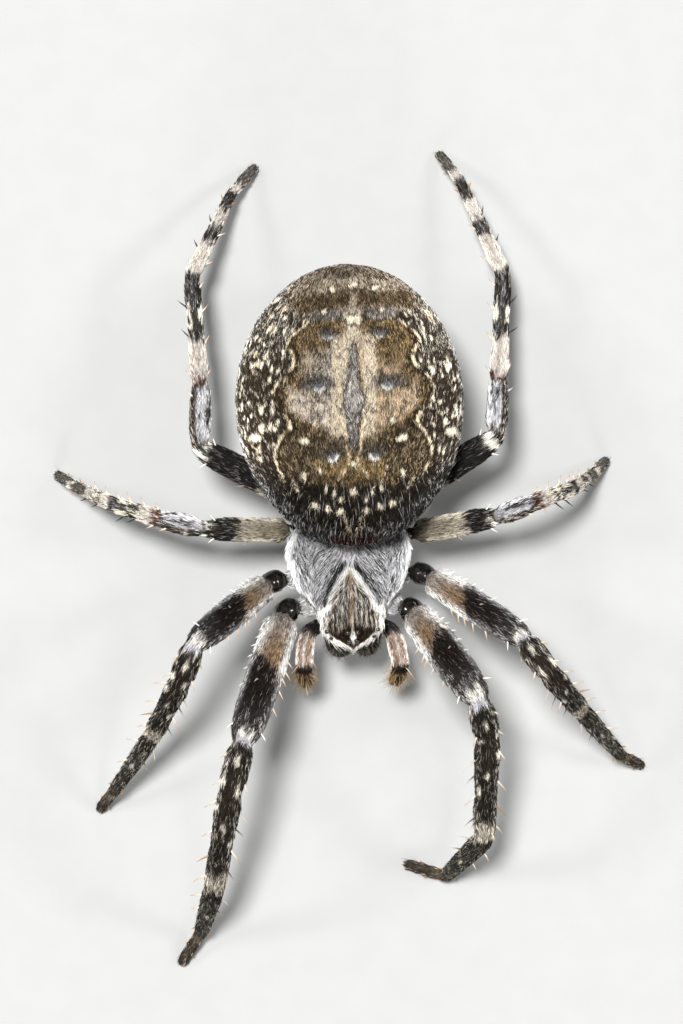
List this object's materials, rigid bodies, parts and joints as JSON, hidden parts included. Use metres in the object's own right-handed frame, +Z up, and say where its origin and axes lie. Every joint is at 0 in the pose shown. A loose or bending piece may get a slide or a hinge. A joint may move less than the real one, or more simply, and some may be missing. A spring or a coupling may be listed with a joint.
{
  "type": "orb weaver spider",
  "caption": "Still life-size adult female grey cross spider with a speckled egg-shaped abdomen, silver-haired head and banded bristly legs, standing with its legs spread.",
  "frame": {"origin": "on the floor, below the middle of the outline seen from above", "axes": "+Z up, the head towards -Y, the animal's left side towards +X"},
  "size_m": [0.0205, 0.0282, 0.0088],
  "materials": {
    "abdomen_hide": "short flat hair, speckled brown and cream, matt",
    "shield_hide": "fine silver-grey hair lying flat, matt",
    "leg_dark": "dark brown grizzled hair, matt",
    "leg_tan": "tan skin under pale hair, dark towards the knee",
    "leg_pale": "pale lilac-grey hair, matt",
    "coxa_grey": "whitish-grey hair, matt",
    "jaw_black": "dark brown horn, half gloss, thinly haired",
    "fang_brown": "dark red-brown horn, glossy",
    "palp_tan": "tan skin with white hair stripes",
    "eye_black": "black lens, high gloss",
    "spinneret_brown": "dark brown soft skin"
  },
  "bodies": {
    "root": {"abdomen": "abdomen_hide", "cephalothorax": "shield_hide", "chelicera_left": "jaw_black", "chelicera_right": "jaw_black", "eye_front_middle_left": "eye_black", "eye_front_middle_right": "eye_black", "eye_front_side_left": "eye_black", "eye_front_side_right": "eye_black", "eye_rear_middle_left": "eye_black", "eye_rear_middle_right": "eye_black", "eye_rear_side_left": "eye_black", "eye_rear_side_right": "eye_black", "fang_left": "fang_brown", "fang_right": "fang_brown", "leg_1_left_coxa": "coxa_grey", "leg_1_left_femur": "leg_tan", "leg_1_left_foot": "leg_dark", "leg_1_left_patella": "leg_pale", "leg_1_left_tibia": "leg_dark", "leg_1_right_coxa": "coxa_grey", "leg_1_right_femur": "leg_tan", "leg_1_right_foot": "leg_dark", "leg_1_right_patella": "leg_pale", "leg_1_right_tibia": "leg_dark", "leg_2_left_coxa": "coxa_grey", "leg_2_left_femur": "leg_tan", "leg_2_left_foot": "leg_dark", "leg_2_left_patella": "leg_pale", "leg_2_left_tibia": "leg_dark", "leg_2_right_coxa": "coxa_grey", "leg_2_right_femur": "leg_tan", "leg_2_right_foot": "leg_dark", "leg_2_right_patella": "leg_pale", "leg_2_right_tibia": "leg_dark", "leg_3_left_coxa": "coxa_grey", "leg_3_left_femur": "leg_tan", "leg_3_left_foot": "leg_dark", "leg_3_left_patella": "leg_pale", "leg_3_left_tibia": "leg_dark", "leg_3_right_coxa": "coxa_grey", "leg_3_right_femur": "leg_tan", "leg_3_right_foot": "leg_dark", "leg_3_right_patella": "leg_pale", "leg_3_right_tibia": "leg_dark", "leg_4_left_coxa": "coxa_grey", "leg_4_left_femur": "leg_tan", "leg_4_left_foot": "leg_dark", "leg_4_left_patella": "leg_pale", "leg_4_left_tibia": "leg_dark", "leg_4_right_coxa": "coxa_grey", "leg_4_right_femur": "leg_tan", "leg_4_right_foot": "leg_dark", "leg_4_right_patella": "leg_pale", "leg_4_right_tibia": "leg_dark", "palp_left_lower": "leg_dark", "palp_left_upper": "palp_tan", "palp_right_lower": "leg_dark", "palp_right_upper": "palp_tan", "pedicel": "spinneret_brown", "spinnerets": "spinneret_brown"}
  },
  "joints": []
}
